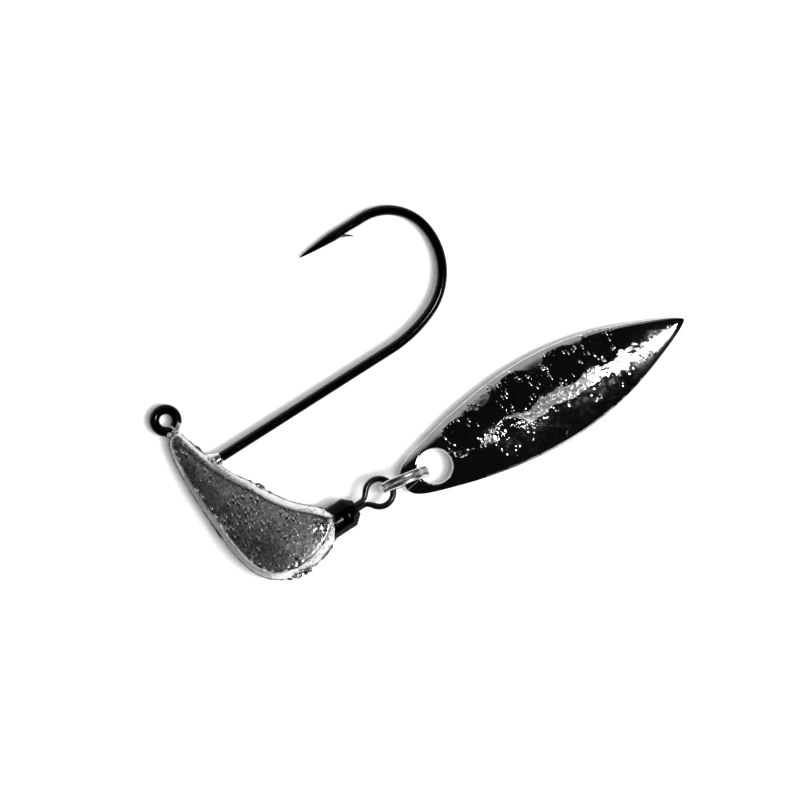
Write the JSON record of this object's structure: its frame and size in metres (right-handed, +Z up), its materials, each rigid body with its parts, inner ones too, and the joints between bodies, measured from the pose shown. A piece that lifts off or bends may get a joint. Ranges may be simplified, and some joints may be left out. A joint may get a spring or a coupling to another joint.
{
  "type": "underspin jig head",
  "caption": "Flat-sided lead jig head on a 90 degree jig hook, with a swivel, a split ring and a hammered willow-leaf spinner blade that turns under the hook.",
  "frame": {"origin": "centre of the line eye", "axes": "+X along the hook's shank from the head towards the bend, +Y towards the hook's point, +Z up, away from the surface that the lure lies on"},
  "size_m": [0.0554, 0.0332, 0.006],
  "materials": {
    "cast_lead": "matte",
    "hook_steel": "gloss",
    "swivel_black": "gloss",
    "swivel_wire": "gloss",
    "ring_steel": "polished",
    "blade_nickel": "polished"
  },
  "bodies": {
    "lure": {"jig_head": "cast_lead", "hook": "hook_steel", "swivel_barrel": "swivel_black", "swivel_front_eye": "swivel_black"},
    "swivel_eye": {"swivel_rear_eye": "swivel_wire"},
    "ring": {"split_ring": "ring_steel"},
    "spinner_blade": {"blade": "blade_nickel"}
  },
  "joints": [
    {"name": "swivel_spin", "type": "hinge", "parent": "lure", "child": "swivel_eye", "pos_m": [0.01541, -0.01907, 0.00146], "axis": [1, 0, 0], "continuous": true},
    {"name": "ring_swing", "type": "hinge", "parent": "swivel_eye", "child": "ring", "pos_m": [0.01692, -0.01907, 0.00146], "axis": [-0.1736, -0.9819, 0.075], "range_deg": [-15, 15]},
    {"name": "blade_swing", "type": "hinge", "parent": "ring", "child": "spinner_blade", "pos_m": [0.01846, -0.01939, 0.00148], "axis": [-0.1736, -0.9819, 0.075], "range_deg": [-20, 25]}
  ]
}
